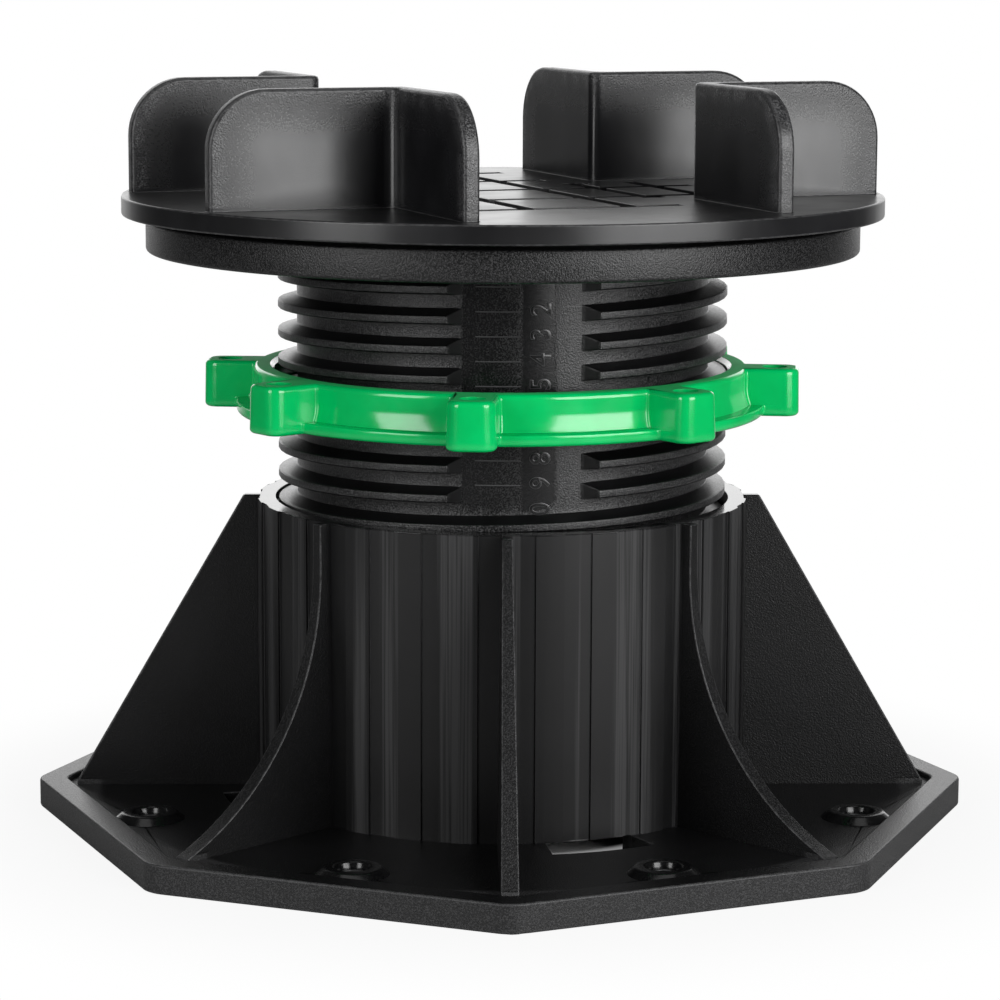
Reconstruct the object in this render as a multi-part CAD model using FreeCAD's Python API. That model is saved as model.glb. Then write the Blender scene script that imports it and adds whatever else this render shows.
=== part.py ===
import FreeCAD, Part
import math
import os

# Adjustable deck block: a screw jack of moulded plastic that carries a deck joist.
# Millimetres and degrees. Z is up, the screw axis is Z, the foot stands on z = 0,
# and X and Y run along the two joist channels of the head.

# Screw thread, single start, right-hand, trapezoidal
pitch = 6.0
crest_radius = 47.5
thread_depth = 4.0
crest_land = 1.7
flank_rise = 1.1
flank_clearance = 0.35
radial_clearance = 0.6
crest_phase_z = 4.5
thread_step = 12.0

# Foot plate
foot_corner_radius = 100.0
foot_corner_rounding = 7.0
foot_thickness = 6.0
foot_turn = 24.3
rim_width = 5.8
rim_height = 1.2
corner_count = 8

# Fixing holes in the foot plate
fixing_circle_radius = 79.5
fixing_hole_radius = 2.6

# Drain slots that run out from the bore below the tube's wall
slot_count = 4
slot_reach = 8.0
slot_span = 21.0
slot_offset = 19.4

# Fluted tube
tube_radius = 52.0
tube_height = 68.0
mouth_clearance = 0.7
flutes_per_side = 7
flute_depth = 0.45
nut_turns = 1.0
nut_drop = 2.5

# Corner ribs
rib_foot_radius = 91.3
rib_top_reach = 3.0
rib_top_width = 2.2
rib_foot_width = 3.7
rib_foot_step = 0.6
hollow_rib_reach = 2.2
hollow_rib_straight = 9.0

# Stem and flange
stem_extension = 52.5
stem_length = 66.0
stem_wall = 3.5
strip_turn = -106.4
strip_half_width = 11.9
strip_ramp = 3.5
strip_length = 48.3
flange_radius = 75.0
flange_height = 6.5
flange_plate = 3.2
seat_radius = 68.0
seat_height = 1.15

# Swivel between flange and head
spigot_radius = 20.0
swivel_clearance = 0.3
keeper_size = 48.0
keeper_thickness = 2.0
keeper_play = 0.15

# Lock ring
ring_lift = 18.3
ring_height = 10.0
ring_bore_clearance = 0.5
ring_wall = 4.3
ring_lip_radius = 56.0
ring_lip_height = 2.4
lug_count = 8
lug_turn = 18.0
lug_radius = 63.2
lug_width = 10.2
lug_rounding = 2.4
lug_hole_radius = 2.7
lug_hole_circle_radius = 58.0
lug_hole_depth = 3.0
lug_hole_sides = 12

# Joist head
head_radius = 80.0
head_plate = 4.05
fin_height = 23.8
fin_thickness = 3.5
fin_top_rounding = 12.0
fin_bend_radius = 2.5
channel_width_x = 62.8
channel_width_y = 51.2
fin_leg_x = 42.0
fin_leg_y = 41.3
groove_width = 3.4
groove_depth = 1.0
groove_border = 33.0
groove_columns = (11.1, 24.4, 38.0)
groove_row_first = -41.5
groove_row_pitch = 24.4
groove_row_count = 5
head_hole_radius = 2.2
head_hole_inset = 5.4

# Heights and radii that follow
root_radius = crest_radius - thread_depth
bore_radius = crest_radius + mouth_clearance
floor_z = foot_thickness - rim_height
flange_z = tube_height + stem_extension
flange_top_z = flange_z + flange_height
head_z = flange_top_z + seat_height
head_top_z = head_z + head_plate
spigot_end_z = flange_top_z - flange_plate - keeper_play
stem_bottom_z = flange_z - stem_length
ring_z = tube_height + ring_lift
side_angle = 360.0 / corner_count
Z_AXIS = FreeCAD.Vector(0, 0, 1)
ORIGIN = FreeCAD.Vector(0, 0, 0)
EMBED = 0.5


def polar(radius, angle, z=0.0):
    """Point at a radius and an angle about Z."""
    a = math.radians(angle)
    return FreeCAD.Vector(radius * math.cos(a), radius * math.sin(a), z)


def face_of(points):
    """Flat face bounded by straight edges."""
    return Part.Face(Part.makePolygon(points + points[:1]))


def revolved(profile):
    """Solid of revolution about Z from (radius, z) pairs."""
    section = face_of([FreeCAD.Vector(r, 0, z) for r, z in profile])
    return section.revolve(ORIGIN, Z_AXIS, 360)


def ring(inner, outer, z, height):
    """Plain ring about Z."""
    return revolved([(inner, z), (outer, z), (outer, z + height), (inner, z + height)])


def block(x0, x1, y0, y1, z0, z1):
    """Box between two corners."""
    return Part.makeBox(x1 - x0, y1 - y0, z1 - z0, FreeCAD.Vector(x0, y0, z0))


def turned(shape, angle):
    """Copy turned about Z."""
    copy = shape.copy()
    copy.rotate(ORIGIN, Z_AXIS, angle)
    return copy


def around(shape, count, start=0.0):
    """Copies at equal steps about Z."""
    return [turned(shape, start + i * 360.0 / count) for i in range(count)]


def octagon(corner_radius, rounding, z, height):
    """Foot outline: a regular polygon prism with rounded corners."""
    corners = [polar(corner_radius, foot_turn + i * side_angle, z) for i in range(corner_count)]
    prism = face_of(corners).extrude(FreeCAD.Vector(0, 0, height))
    upright = [e for e in prism.Edges if abs(e.tangentAt(e.FirstParameter).z) > 0.99]
    return prism.makeFillet(rounding, upright)


def helical(profile, z, span, start):
    """Ridge lofted up a right-hand helix in straight steps; the profile is (radius, height) about its middle."""
    steps = round(span / thread_step)
    sections = []
    for i in range(steps + 1):
        turn = span * i / steps
        middle = z + pitch * turn / 360.0
        points = [polar(r, start + turn, middle + h) for r, h in profile]
        sections.append(Part.makePolygon(points + points[:1]))
    return Part.makeLoft(sections, True, True)


def crest_z(angle):
    """Height of the crest's middle line at an angle, on the turn that starts at crest_phase_z."""
    return crest_phase_z + pitch * angle / 360.0


def stem_tooth():
    """Section of the stem's ridge, sunk into the core."""
    slope = flank_rise / thread_depth
    half = crest_land / 2
    foot = half + flank_rise + slope * EMBED
    inner = root_radius - EMBED
    return [(inner, -foot), (crest_radius, -half), (crest_radius, half), (inner, foot)]


def nut_tooth():
    """Section of the tube's ridge: the stem's groove less the clearances, sunk into the tube's wall."""
    slope = flank_rise / thread_depth
    root_half = (pitch - crest_land) / 2 - flank_rise
    tip = root_radius + radial_clearance
    outer = bore_radius + EMBED
    half_tip = root_half + slope * (tip - root_radius) - flank_clearance
    half_foot = root_half + slope * (outer - root_radius) - flank_clearance
    return [(tip, -half_tip), (outer, -half_foot), (outer, half_foot), (tip, half_tip)]


def make_rib(outline):
    """Upright rib in the XZ plane with a straight draft from foot to top."""
    plate = Part.Face(outline).extrude(FreeCAD.Vector(0, rib_foot_width, 0))
    plate.translate(FreeCAD.Vector(0, -rib_foot_width / 2, 0))
    foot, top = rib_foot_width / 2, rib_top_width / 2
    section = face_of([
        FreeCAD.Vector(0, -foot, 0),
        FreeCAD.Vector(0, foot, 0),
        FreeCAD.Vector(0, top, tube_height),
        FreeCAD.Vector(0, -top, tube_height),
    ])
    return plate.common(section.extrude(FreeCAD.Vector(foot_corner_radius, 0, 0)))


def make_base():
    """Foot plate, fluted tube with its inner thread, and the corner ribs, moulded as one."""
    inner_corner = foot_corner_radius - rim_width / math.cos(math.radians(side_angle / 2))
    plate = octagon(foot_corner_radius, foot_corner_rounding, 0, foot_thickness)
    plate = plate.cut(octagon(inner_corner, foot_corner_rounding - rim_width / 2, floor_z, foot_thickness))

    # fluted tube: recessed strips between the ribs
    tube = Part.makeCylinder(tube_radius, tube_height)
    strip = side_angle / flutes_per_side
    flute = Part.makeCylinder(tube_radius + EMBED, tube_height, FreeCAD.Vector(0, 0, floor_z), Z_AXIS, strip)
    flute = flute.cut(Part.makeCylinder(tube_radius - flute_depth, tube_height + floor_z))
    flutes = []
    for i in range(1, flutes_per_side, 2):
        flutes += around(flute, corner_count, foot_turn + i * strip)
    tube = tube.cut(Part.makeCompound(flutes))

    # straight ribs on every other corner, hollow ribs on the corners between
    low = floor_z - EMBED
    foot_top = floor_z + rib_foot_step
    inside = bore_radius + EMBED
    reach = tube_radius + rib_top_reach
    straight = Part.makePolygon([
        FreeCAD.Vector(inside, 0, low),
        FreeCAD.Vector(rib_foot_radius, 0, low),
        FreeCAD.Vector(rib_foot_radius, 0, foot_top),
        FreeCAD.Vector(reach, 0, tube_height),
        FreeCAD.Vector(inside, 0, tube_height),
        FreeCAD.Vector(inside, 0, low),
    ])
    arc_top = FreeCAD.Vector(tube_radius + hollow_rib_reach, 0, tube_height - hollow_rib_straight)
    arc_foot = FreeCAD.Vector(rib_foot_radius, 0, foot_top)
    run, drop = arc_foot.x - arc_top.x, arc_top.z - arc_foot.z
    radius = (run ** 2 + drop ** 2) / (2 * run)
    sweep = math.asin(drop / radius) / 2
    arc_mid = arc_top + FreeCAD.Vector(radius - radius * math.cos(sweep), 0, -radius * math.sin(sweep))
    hollow = Part.Wire([
        Part.makeLine(FreeCAD.Vector(inside, 0, low), FreeCAD.Vector(arc_foot.x, 0, low)),
        Part.makeLine(FreeCAD.Vector(arc_foot.x, 0, low), arc_foot),
        Part.Arc(arc_foot, arc_mid, arc_top).toShape(),
        Part.makeLine(arc_top, FreeCAD.Vector(arc_top.x, 0, tube_height)),
        Part.makeLine(FreeCAD.Vector(arc_top.x, 0, tube_height), FreeCAD.Vector(inside, 0, tube_height)),
        Part.makeLine(FreeCAD.Vector(inside, 0, tube_height), FreeCAD.Vector(inside, 0, low)),
    ])
    ribs = around(make_rib(straight), corner_count // 2, foot_turn + side_angle)
    ribs += around(make_rib(hollow), corner_count // 2, foot_turn)

    base = plate.fuse([tube] + ribs)

    # bore, fixing holes and drain slots
    bore = Part.makeCylinder(bore_radius, tube_height)
    hole = Part.makeCylinder(fixing_hole_radius, foot_thickness, polar(fixing_circle_radius, 0))
    slot = Part.makeCylinder(tube_radius + slot_reach, floor_z, ORIGIN, Z_AXIS, slot_span)
    cuts = [bore] + around(hole, corner_count, foot_turn + side_angle / 2)
    cuts += around(slot, slot_count, foot_turn + side_angle + slot_offset - slot_span / 2)
    base = base.cut(Part.makeCompound(cuts)).removeSplitter()

    # inner thread: it lies half a pitch off the stem's crest and ends below the mouth
    nut_top = tube_height - nut_drop
    top_turn = 360.0 * (nut_top - crest_phase_z - pitch / 2) / pitch
    span = 360.0 * nut_turns
    return base.fuse(helical(nut_tooth(), nut_top - pitch * nut_turns, span, top_turn - span))


def make_stem():
    """Hollow threaded stem with its flange."""
    steps = round(360.0 / thread_step)
    outline = [polar(root_radius, strip_turn + i * thread_step, stem_bottom_z) for i in range(steps)]
    core = face_of(outline).extrude(FreeCAD.Vector(0, 0, stem_length))
    hollow = Part.makeCylinder(root_radius - stem_wall, stem_length + flange_height - flange_plate,
                               FreeCAD.Vector(0, 0, stem_bottom_z))
    flange = revolved([
        (spigot_radius + swivel_clearance, flange_z),
        (flange_radius, flange_z),
        (flange_radius, flange_top_z),
        (seat_radius, flange_top_z),
        (seat_radius, head_z),
        (spigot_radius + swivel_clearance, head_z),
    ])
    pin_hole = Part.makeCylinder(spigot_radius + swivel_clearance, stem_length + 2 * flange_height,
                                 FreeCAD.Vector(0, 0, stem_bottom_z))
    core = core.fuse(flange).cut(Part.makeCompound([hollow, pin_hole]))

    # one length of ridge between the two plain strips, repeated up the stem
    span = 180.0
    length = helical(stem_tooth(), 0, span, 0)
    crest_half = strip_half_width + strip_ramp
    root_x = math.sqrt(root_radius ** 2 - strip_half_width ** 2)
    crest_x = math.sqrt(crest_radius ** 2 - crest_half ** 2)
    slope = strip_ramp / (crest_x - root_x)
    inner_x = root_x - 2 * EMBED
    outer_x = crest_radius + EMBED
    narrow = strip_half_width + slope * (inner_x - root_x)
    wide = strip_half_width + slope * (outer_x - root_x)
    relief = face_of([
        FreeCAD.Vector(inner_x, -narrow, -pitch),
        FreeCAD.Vector(outer_x, -wide, -pitch),
        FreeCAD.Vector(outer_x, wide, -pitch),
        FreeCAD.Vector(inner_x, narrow, -pitch),
    ]).extrude(FreeCAD.Vector(0, 0, 4 * pitch))
    length = length.cut(Part.makeCompound(around(relief, 2)))

    # the lowest broken turn meets the front strip at this height
    strip_bottom = flange_z - strip_length
    first = crest_z(strip_turn) + pitch * math.ceil((strip_bottom - crest_z(strip_turn)) / pitch)
    tooth_half = crest_land / 2 + flank_rise
    lengths = []
    for side in range(2):
        z = first - pitch / 2 * side
        while z + tooth_half < flange_z:
            piece = turned(length, strip_turn + 180.0 * side)
            piece.translate(FreeCAD.Vector(0, 0, z))
            lengths.append(piece)
            z += pitch

    # unbroken ridge below the scale, ending at the rear strip
    end = first - pitch / 2
    turns = math.floor((end - tooth_half - stem_bottom_z) / pitch)
    lower = helical(stem_tooth(), end - pitch * turns, 360.0 * turns, strip_turn + 180.0)
    rear = turned(relief, strip_turn + 180.0)
    rear.translate(FreeCAD.Vector(0, 0, end + pitch / 2))
    return core.removeSplitter().fuse([lower.cut(rear)] + lengths)


def make_ring():
    """Lock ring with a lip and grip lugs, each with a blind hole in its top."""
    inner = crest_radius + ring_bore_clearance
    outer = inner + ring_wall
    top = ring_z + ring_height
    body = revolved([
        (inner, ring_z),
        (ring_lip_radius, ring_z),
        (ring_lip_radius, ring_z + ring_lip_height),
        (outer, ring_z + ring_lip_height),
        (outer, top),
        (inner, top),
    ])
    lug = block(inner + EMBED, lug_radius, -lug_width / 2, lug_width / 2, ring_z, top)
    edges = [e for e in lug.Edges if abs(e.tangentAt(e.FirstParameter).z) > 0.99]
    lug = lug.makeFillet(lug_rounding, [e for e in edges if e.CenterOfMass.x > outer])
    middle = polar(lug_hole_circle_radius, 0, top - lug_hole_depth)
    corners = [middle + polar(lug_hole_radius, i * 360.0 / lug_hole_sides) for i in range(lug_hole_sides)]
    hole = face_of(corners).extrude(FreeCAD.Vector(0, 0, lug_hole_depth))
    holes = Part.makeCompound(around(hole, lug_count, lug_turn))
    return body.fuse(around(lug, lug_count, lug_turn)).cut(holes)


def make_fin():
    """L-shaped fin of the first quadrant, its corner towards the axis."""
    x0, y0 = channel_width_x / 2, channel_width_y / 2
    top = head_top_z + fin_height
    low = head_top_z - groove_depth
    leg_x = block(x0, x0 + fin_leg_x, y0, y0 + fin_thickness, low, top)
    leg_y = block(x0, x0 + fin_thickness, y0, y0 + fin_leg_y, low, top)
    end_x = [e for e in leg_x.Edges if e.CenterOfMass.x > x0 + fin_leg_x - EMBED]
    end_y = [e for e in leg_y.Edges if e.CenterOfMass.y > y0 + fin_leg_y - EMBED]
    leg_x = leg_x.makeFillet(fin_top_rounding, [e for e in end_x if e.CenterOfMass.z > top - EMBED])
    leg_y = leg_y.makeFillet(fin_top_rounding, [e for e in end_y if e.CenterOfMass.z > top - EMBED])
    fin = leg_x.fuse(leg_y).removeSplitter()
    bends = []
    for e in fin.Edges:
        c = e.CenterOfMass
        upright = abs(e.tangentAt(e.FirstParameter).z) > 0.99
        at_corner = max(c.x - x0, c.y - y0) < fin_thickness + EMBED
        on_outside = math.hypot(c.x - x0, c.y - y0) < EMBED
        on_inside = math.hypot(c.x - x0 - fin_thickness, c.y - y0 - fin_thickness) < EMBED
        if upright and at_corner and (on_outside or on_inside):
            bends.append(e)
    return fin.makeFillet(fin_bend_radius, bends)


def make_head():
    """Round plate with crossing joist channels, tile grooves and the swivel spigot."""
    plate = Part.makeCylinder(head_radius, head_plate, FreeCAD.Vector(0, 0, head_z))
    low = head_top_z - groove_depth
    high = head_top_z + EMBED
    half = groove_width / 2
    reach_x = head_radius - groove_border
    rows = [groove_row_first + i * groove_row_pitch for i in range(groove_row_count)]
    cuts = []
    for x in groove_columns:
        inside = x < channel_width_x / 2 - head_hole_inset - half
        y0 = rows[0] if inside else -channel_width_y / 2 + head_hole_inset
        y1 = rows[-1] if inside else channel_width_y / 2 - head_hole_inset
        for s in (-x, x):
            cuts.append(block(s - half, s + half, y0 - half, y1 + half, low, high))
    for y in rows:
        across = abs(y) < channel_width_y / 2
        x1 = reach_x if across else channel_width_x / 2 - 2 * head_hole_inset + half
        cuts.append(block(-x1, x1, y - half, y + half, low, high))
    hole_x = channel_width_x / 2 - head_hole_inset
    hole_y = channel_width_y / 2 - head_hole_inset
    for sx in (-1, 1):
        for sy in (-1, 1):
            at = FreeCAD.Vector(sx * hole_x, sy * hole_y, head_z - EMBED)
            cuts.append(Part.makeCylinder(head_hole_radius, head_plate + 2 * EMBED, at))
    plate = plate.cut(Part.makeCompound(cuts))

    fin = make_fin()
    flipped = fin.mirror(ORIGIN, FreeCAD.Vector(1, 0, 0))
    fins = [fin, flipped, turned(fin, 180), turned(flipped, 180)]

    spigot = Part.makeCylinder(spigot_radius, head_z - spigot_end_z, FreeCAD.Vector(0, 0, spigot_end_z))
    return plate.fuse(fins + [spigot])


def make_keeper():
    """Plate closing the spigot's end below the flange, which keeps the head on."""
    half = keeper_size / 2
    return block(-half, half, -half, half, spigot_end_z - keeper_thickness, spigot_end_z)


os.makedirs("parts", exist_ok=True)
make_base().exportStep("parts/base.step")
make_stem().exportStep("parts/jack_stem.step")
make_ring().removeSplitter().exportStep("parts/lock_ring.step")
make_head().removeSplitter().exportStep("parts/joist_head.step")
make_keeper().exportStep("parts/head_keeper.step")
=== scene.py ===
import math

import bmesh
import bpy
import numpy as np
from mathutils import Matrix, Vector


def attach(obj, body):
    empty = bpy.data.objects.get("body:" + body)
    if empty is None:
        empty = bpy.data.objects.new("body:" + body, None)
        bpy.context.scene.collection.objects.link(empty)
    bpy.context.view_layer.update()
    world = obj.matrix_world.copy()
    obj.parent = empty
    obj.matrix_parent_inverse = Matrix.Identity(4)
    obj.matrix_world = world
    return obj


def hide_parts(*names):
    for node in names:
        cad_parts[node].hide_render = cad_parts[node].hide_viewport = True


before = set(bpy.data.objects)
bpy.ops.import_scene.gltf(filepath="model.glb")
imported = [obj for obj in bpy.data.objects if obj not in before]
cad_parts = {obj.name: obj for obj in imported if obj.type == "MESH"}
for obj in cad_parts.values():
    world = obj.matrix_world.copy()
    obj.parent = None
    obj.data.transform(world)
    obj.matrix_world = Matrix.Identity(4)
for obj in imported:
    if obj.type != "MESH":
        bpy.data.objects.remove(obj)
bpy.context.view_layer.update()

# Lengths are in millimetres and angles in degrees. Z is the screw axis, and the foot stands on z = 0.
MM = 0.001

# Points of a mesh that are closer than this, in metres, become one
TOUCHING = 1e-6

# Base: foot with its raised rim, tube with its strips, and fixing bosses
FOOT_TURN, FOOT_SIDES, FOOT_TOP, FLOOR_Z = 24.3, 8, 6.0, 4.8
RIM_START_R, RIM_FULL_R = 85.0, 87.0
TUBE_R, FLUTE_R, TUBE_TOP = 52.0, 51.55, 68.0
BOSS_CIRCLE_R = 79.5

# Stem: thread, the plain strips that interrupt it, and flange
PITCH, THREAD_TURNS, FIRST_PITCH, CREST_PHASE = 6.0, 13, 8, 4.5
CREST_R, ROOT_R, CORE_R, UNCUT_R = 47.5, 43.5, 40.0, 1000.0
CREST_HALF, FLANK_TOP, FLANK_LOW = 0.85, 1.95, 1.35
STRIP_TURN, STRIP_HALF, RAMP_HALF = -106.4, 11.9, 15.4
FRONT_STRIP_LOW, REAR_STRIP_LOW = 72.2, 69.4
STEM_LOW, FLANGE_LOW, FLANGE_TOP, SEAT_TOP = 54.5, 120.5, 127.0, 128.15
FLANGE_R, SEAT_R, SWIVEL_R, SWIVEL_LOW = 75.0, 68.0, 20.3, 123.8

# Height scale on the front strip, and the seams at its side
SCALE_TOP, SCALE_STEP, SCALE_SUNK = 122.24, 5.0, 0.4
SEAM_LOW, SEAM_COUNT = 76.68, 7

# Lock ring and its lugs
RING_LOW, RING_TOP, RING_SHIFT = 86.3, 96.3, (-0.32, 0.13)
RING_BORE, RING_BAND, RING_LIP, LIP_TALL = 48.0, 52.3, 56.0, 2.4
LUG_COUNT, LUG_TURN, LUG_END, LUG_HALF, LUG_ROUND = 8, 17.7, 63.2, 5.1, 3.0
LUG_HOLE_CIRCLE_R, LUG_HOLE_R, LUG_HOLE_DEPTH = 58.0, 2.7, 3.0

# Head: plate and fins
PLATE_R, PLATE_TOP, FIN_TOP = 80.0, 132.2, 156.0
FIN_REACH_X, FIN_REACH_Y, FIN_ROUND = 73.4, 66.9, 12.0

# Camera: lens and sensor in millimetres, place in its own heading in metres, turns in radians
CAMERA_LENS, CAMERA_SENSOR = 124.296, 36.0
CAMERA_PLACE = (-0.001262, -0.72772, 0.187146)
CAMERA_HEADING, CAMERA_ASIDE = math.radians(21.8), 0.0012
CAMERA_DOWN, CAMERA_ROLL = 0.16411, 0.004

# White of the room's far side in reflections: where it starts and is full, as a cosine, and its two levels
FAR_WHITE = (0.68, 0.97, 0.05, 1.0)

# Lamps: place in the camera's heading, height aimed at, width and height in metres, and power in watts
LAMPS = {
    "left_box": ((-0.45, -0.45, 0.285), 0.2, (0.26, 0.42), 2.4),
    "right_box": ((0.44, -0.472, 0.27), 0.2, (0.45, 0.42), 5.6),
    "top_box": ((0.0, -0.1, 1.1), 0.1, (0.9, 0.6), 1.8),
    "back_box": ((0.0, 1.3, 0.4), 0.1, (1.5, 0.7), 3.5),
}


def quads(rows, columns, join_rows=False, join_columns=False):
    """Faces of a grid whose points are stored row by row; a joined side wraps round to its start."""
    r = np.arange(rows if join_rows else rows - 1)[:, None]
    c = np.arange(columns if join_columns else columns - 1)[None, :]
    r1, c1 = (r + 1) % rows, (c + 1) % columns
    corners = [r * columns + c, r * columns + c1, r1 * columns + c1, r1 * columns + c]
    return np.stack(np.broadcast_arrays(*corners), axis=-1).reshape(-1, 4)


def place_in_scene(name, data):
    """Object that holds this data, linked into the scene."""
    thing = bpy.data.objects.new(name, data)
    bpy.context.scene.collection.objects.link(thing)
    return thing


def read(items, key, width=1, kind=float):
    """Values that a mesh's points, faces or corners have under a key, as an array with a row for each."""
    values = np.empty(len(items) * width, kind)
    items.foreach_get(key, values)
    return values.reshape(-1, width) if width > 1 else values


def carry(mesh, name, values, where="POINT"):
    """Attribute that gives each point or face of a mesh its own number."""
    layer = mesh.attributes.new(name, "FLOAT", where)
    layer.data.foreach_set("value", np.asarray(values, np.float32).ravel())


def grid_mesh(name, points, faces):
    """Mesh from points in millimetres and quad faces."""
    mesh = bpy.data.meshes.new(name)
    points = np.asarray(points, float).reshape(-1, 3) * MM
    mesh.from_pydata(points.tolist(), [], np.asarray(faces).tolist())
    return mesh


def weld(mesh):
    """Joins points that fall together, drops faces with no area and turns all faces outwards."""
    work = bmesh.new()
    work.from_mesh(mesh)
    bmesh.ops.remove_doubles(work, verts=work.verts, dist=TOUCHING)
    bmesh.ops.dissolve_degenerate(work, edges=work.edges, dist=TOUCHING / 10)
    bmesh.ops.recalc_face_normals(work, faces=work.faces)
    work.to_mesh(mesh)
    work.free()


def smooth_shading(mesh, angle):
    """Smooth shading across every edge that turns less than the angle."""
    mesh.polygons.foreach_set("use_smooth", np.ones(len(mesh.polygons), bool))
    mesh.set_sharp_from_angle(angle=math.radians(angle))


def dress(name, mesh, body, material, smooth_angle=35.0):
    """Object for a mesh, smooth across shallow edges, with its body and material."""
    smooth_shading(mesh, smooth_angle)
    mesh.materials.clear()
    mesh.materials.append(material)
    piece = place_in_scene(name, mesh)
    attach(piece, body)
    return piece


def put(name, points, faces, body, material, marks=None, smooth_angle=35.0):
    """Mesh object from points in millimetres and quad faces, welded and riding on a body of the frame.
    marks maps an attribute's name to one number for each point."""
    mesh = grid_mesh(name, points, faces)
    for key, values in (marks or {}).items():
        carry(mesh, key, values)
    weld(mesh)
    return dress(name, mesh, body, material, smooth_angle)


def finished_mesh(thing):
    """New mesh of an object as its outline and modifiers shape it."""
    graph = bpy.context.evaluated_depsgraph_get()
    shaped = thing.evaluated_get(graph)
    return bpy.data.meshes.new_from_object(shaped, preserve_all_data_layers=True, depsgraph=graph)


def settle(piece):
    """Applies an object's modifiers and gives back the mesh that it then holds."""
    mesh = finished_mesh(piece)
    piece.modifiers.clear()
    piece.data = mesh
    return mesh


def rounded(corners, radii, steps=5):
    """Closed outline with its corners rounded: each corner becomes an arc between its two tangent points,
    blended by sines so that the arc stays round."""
    p = np.asarray(corners, float)
    r = np.maximum(np.broadcast_to(np.asarray(radii, float), len(p)), 1e-4)[:, None]
    u = np.roll(p, 1, axis=0) - p
    v = np.roll(p, -1, axis=0) - p
    u /= np.linalg.norm(u, axis=1, keepdims=True)
    v /= np.linalg.norm(v, axis=1, keepdims=True)
    half = np.arccos(np.clip((u * v).sum(axis=1, keepdims=True), -1, 1)) / 2
    middle = (u + v) / np.linalg.norm(u + v, axis=1, keepdims=True)
    centre = p + middle * r / np.sin(half)
    start, end = p + u * r / np.tan(half) - centre, p + v * r / np.tan(half) - centre
    sweep = math.pi - 2 * half
    w = np.linspace(0, 1, steps)
    arcs = [centre + (np.sin((1 - t) * sweep) * start + np.sin(t * sweep) * end) / np.sin(sweep) for t in w]
    return np.stack(arcs, axis=1).reshape(-1, 2)


def turned_points(profile, angles, centre=(0.0, 0.0)):
    """Surface of revolution: the profile's (radius, height) points carried round an upright axis through the
    centre, at the given angles."""
    r, z = np.asarray(profile, float).T
    a = np.asarray(angles)[:, None]
    x = centre[0] + r * np.cos(a)
    y = centre[1] + r * np.sin(a)
    return np.stack([x, y, np.broadcast_to(z, x.shape)], axis=-1)


def turned_copies(profile, columns, centres, closed=True):
    """Points and faces of one profile turned all the way round at each centre. A profile that isn't closed
    starts and ends on its axis."""
    angles = np.linspace(0, 2 * math.pi, columns, endpoint=False)
    points = np.concatenate([turned_points(profile, angles, centre).reshape(-1, 3) for centre in centres])
    faces = quads(columns, len(profile), True, closed)
    count = columns * len(profile)
    return points, np.concatenate([faces + i * count for i in range(len(centres))])


def evenly_round(first, count):
    """Angles in radians of copies spread evenly round the screw axis, from the first one's in degrees."""
    return np.radians(first + 360.0 / count * np.arange(count))


def centres_round(radius, first, count, shift=(0.0, 0.0)):
    """Centres of copies spread evenly on a circle round the screw axis, all moved by the shift."""
    turn = evenly_round(first, count)
    return np.column_stack([radius * np.cos(turn), radius * np.sin(turn)]) + shift


class Graph:
    """Node graph in which each call adds a node and gives back its output."""

    def __init__(self, tree):
        self.nodes, self.links = tree.nodes, tree.links

    def feed(self, socket, value):
        """An output is linked to the socket, a plain value is set on it."""
        if isinstance(value, bpy.types.NodeSocket):
            self.links.new(value, socket)
        else:
            socket.default_value = value

    def calc(self, operation, first, second=0.0):
        """One sum on two numbers."""
        node = self.nodes.new("ShaderNodeMath")
        node.operation = operation
        self.feed(node.inputs[0], first)
        self.feed(node.inputs[1], second)
        return node.outputs["Value"]

    def plus(self, first, second):
        """Sum of two numbers."""
        return self.calc("ADD", first, second)

    def minus(self, first, second):
        """First number less the second."""
        return self.calc("SUBTRACT", first, second)

    def times(self, first, second):
        """Product of two numbers."""
        return self.calc("MULTIPLY", first, second)

    def larger(self, first, second):
        """Larger one of two numbers."""
        return self.calc("MAXIMUM", first, second)

    def rest(self, share):
        """What a share leaves of one."""
        return self.minus(1.0, share)

    def length(self, first, second):
        """Length across two sides at right angles: the root of the sum of their squares."""
        return self.calc("SQRT", self.plus(self.times(first, first), self.times(second, second)))

    def ramp(self, value, start, end, low=0.0, high=1.0):
        """Smooth change from low to high while the value goes from start to end."""
        node = self.nodes.new("ShaderNodeMapRange")
        node.interpolation_type = "SMOOTHSTEP"
        for key, number in zip(("From Min", "From Max", "To Min", "To Max"), (start, end, low, high)):
            node.inputs[key].default_value = number
        self.links.new(value, node.inputs["Value"])
        return node.outputs["Result"]

    def along(self, place, start, end, low=0.0, high=1.0):
        """Smooth change from low to high between two places in millimetres."""
        return self.ramp(place, start * MM, end * MM, low, high)

    def mix(self, factor, first, second):
        """Number between two others."""
        node = self.nodes.new("ShaderNodeMix")
        for key, value in (("Factor", factor), ("A", first), ("B", second)):
            self.feed(node.inputs[key], value)
        return node.outputs["Result"]


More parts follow.
